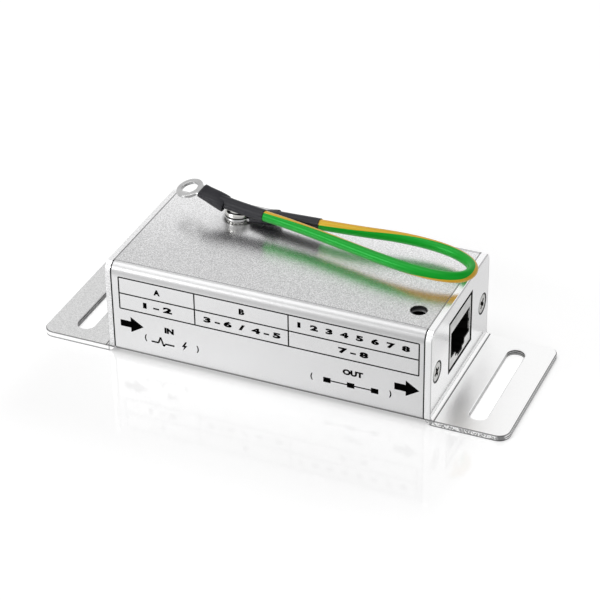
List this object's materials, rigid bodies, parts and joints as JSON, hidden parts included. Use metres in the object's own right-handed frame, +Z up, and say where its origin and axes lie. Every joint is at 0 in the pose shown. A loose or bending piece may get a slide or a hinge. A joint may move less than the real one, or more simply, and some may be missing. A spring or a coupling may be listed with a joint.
{
  "type": "ethernet surge protector",
  "caption": "In-line surge protector for a network cable: a metal box on slotted flanges, with a shielded socket at each end and a short earth lead screwed to the top.",
  "frame": {"origin": "middle of the base, on the surface that the protector stands on", "axes": "+X along the housing towards the socket at the output end, +Z up, the printed front face towards -Y"},
  "size_m": [0.1226, 0.0406, 0.0334],
  "materials": {
    "anodised_top": "blasted and anodised",
    "anodised_plate": "satin anodised",
    "plated_screw": "zinc plated",
    "nickel_shield": "nickel plated",
    "black_insert": "moulded",
    "gold_contact": "gold plated",
    "board_green": "solder mask",
    "ceramic": "ceramic with metal caps",
    "chip_black": "moulded",
    "brass_strap": "bare",
    "tinned_terminal": "tinned",
    "black_sleeve": "satin",
    "earth_wire": "green with a yellow stripe"
  },
  "bodies": {
    "root": {"housing": "anodised_top", "end_plate_in": "anodised_plate", "end_plate_out": "anodised_plate", "end_plate_screws": "plated_screw", "jack_in_shield": "nickel_shield", "jack_out_shield": "nickel_shield", "jack_in_body": "black_insert", "jack_out_body": "black_insert", "jack_in_contacts": "gold_contact", "jack_out_contacts": "gold_contact", "circuit_board": "board_green", "gas_discharge_tubes": "ceramic", "series_resistors": "chip_black", "suppressor_diodes": "chip_black", "earth_strap": "brass_strap", "ground_nut": "plated_screw", "ground_screw": "plated_screw", "lock_washer": "plated_screw", "fixed_ring_terminal": "tinned_terminal", "free_ring_terminal": "tinned_terminal", "fixed_terminal_sleeve": "black_sleeve", "free_terminal_sleeve": "black_sleeve", "fixed_shrink_tube": "black_sleeve", "free_shrink_tube": "black_sleeve", "ground_wire": "earth_wire"}
  },
  "joints": []
}
